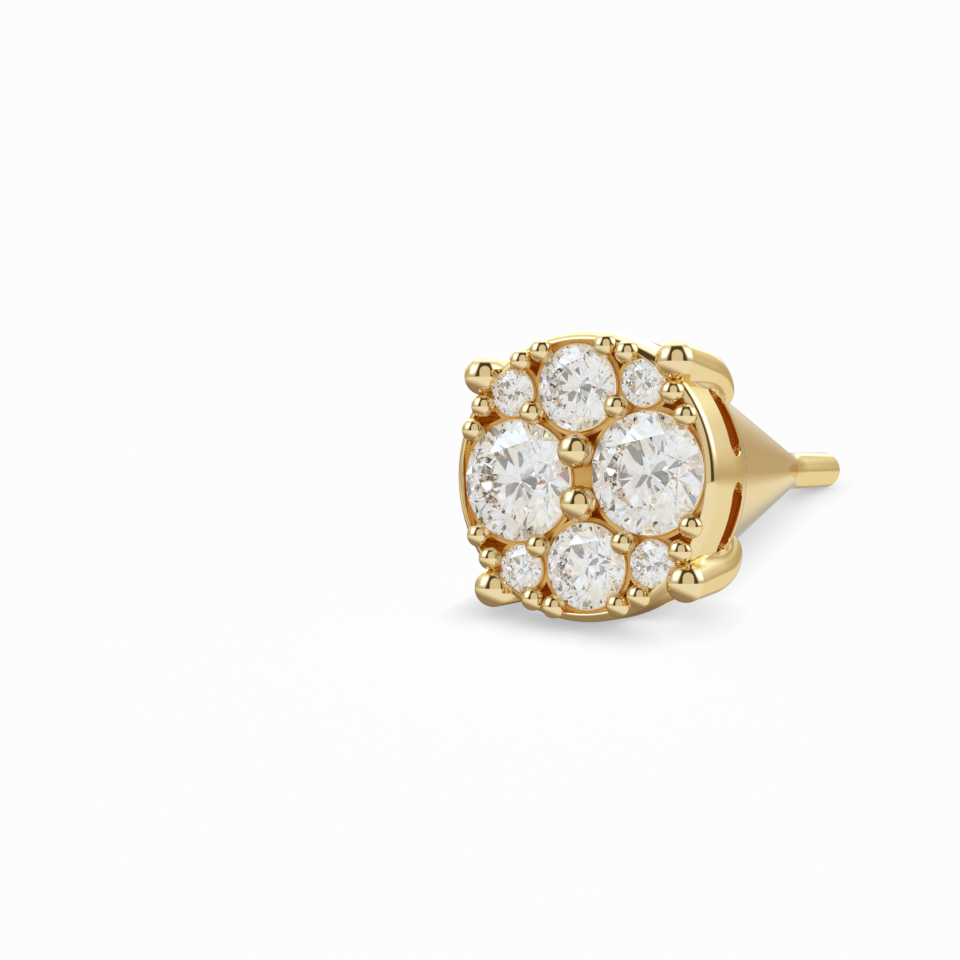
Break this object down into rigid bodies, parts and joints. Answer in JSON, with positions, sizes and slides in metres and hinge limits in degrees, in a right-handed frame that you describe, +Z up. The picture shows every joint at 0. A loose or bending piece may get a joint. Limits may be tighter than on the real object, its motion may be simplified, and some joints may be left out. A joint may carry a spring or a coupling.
{
  "type": "cluster stud earring",
  "caption": "Round cluster stud earring: brilliant-cut stones between gold beads and claws in a slotted round basket, with a hollow cone stem that tapers into a straight post.",
  "frame": {"origin": "on the floor, under the middle of the earring's bounding box as it lies at rest", "axes": "+Z up; +Y horizontal, from the face with the stones towards the post's tip; +X to the wearer's side that is right in a view of the face; the face looks along -Y and about 12 degrees upwards"},
  "size_m": [0.0056, 0.0132, 0.0057],
  "materials": {
    "gold": "polished",
    "diamond": "polished"
  },
  "bodies": {
    "root": {"setting": "gold", "large_stone_left": "diamond", "large_stone_right": "diamond", "medium_stone_top": "diamond", "medium_stone_bottom": "diamond", "small_stone_top_left": "diamond", "small_stone_top_right": "diamond", "small_stone_bottom_left": "diamond", "small_stone_bottom_right": "diamond"}
  },
  "joints": []
}
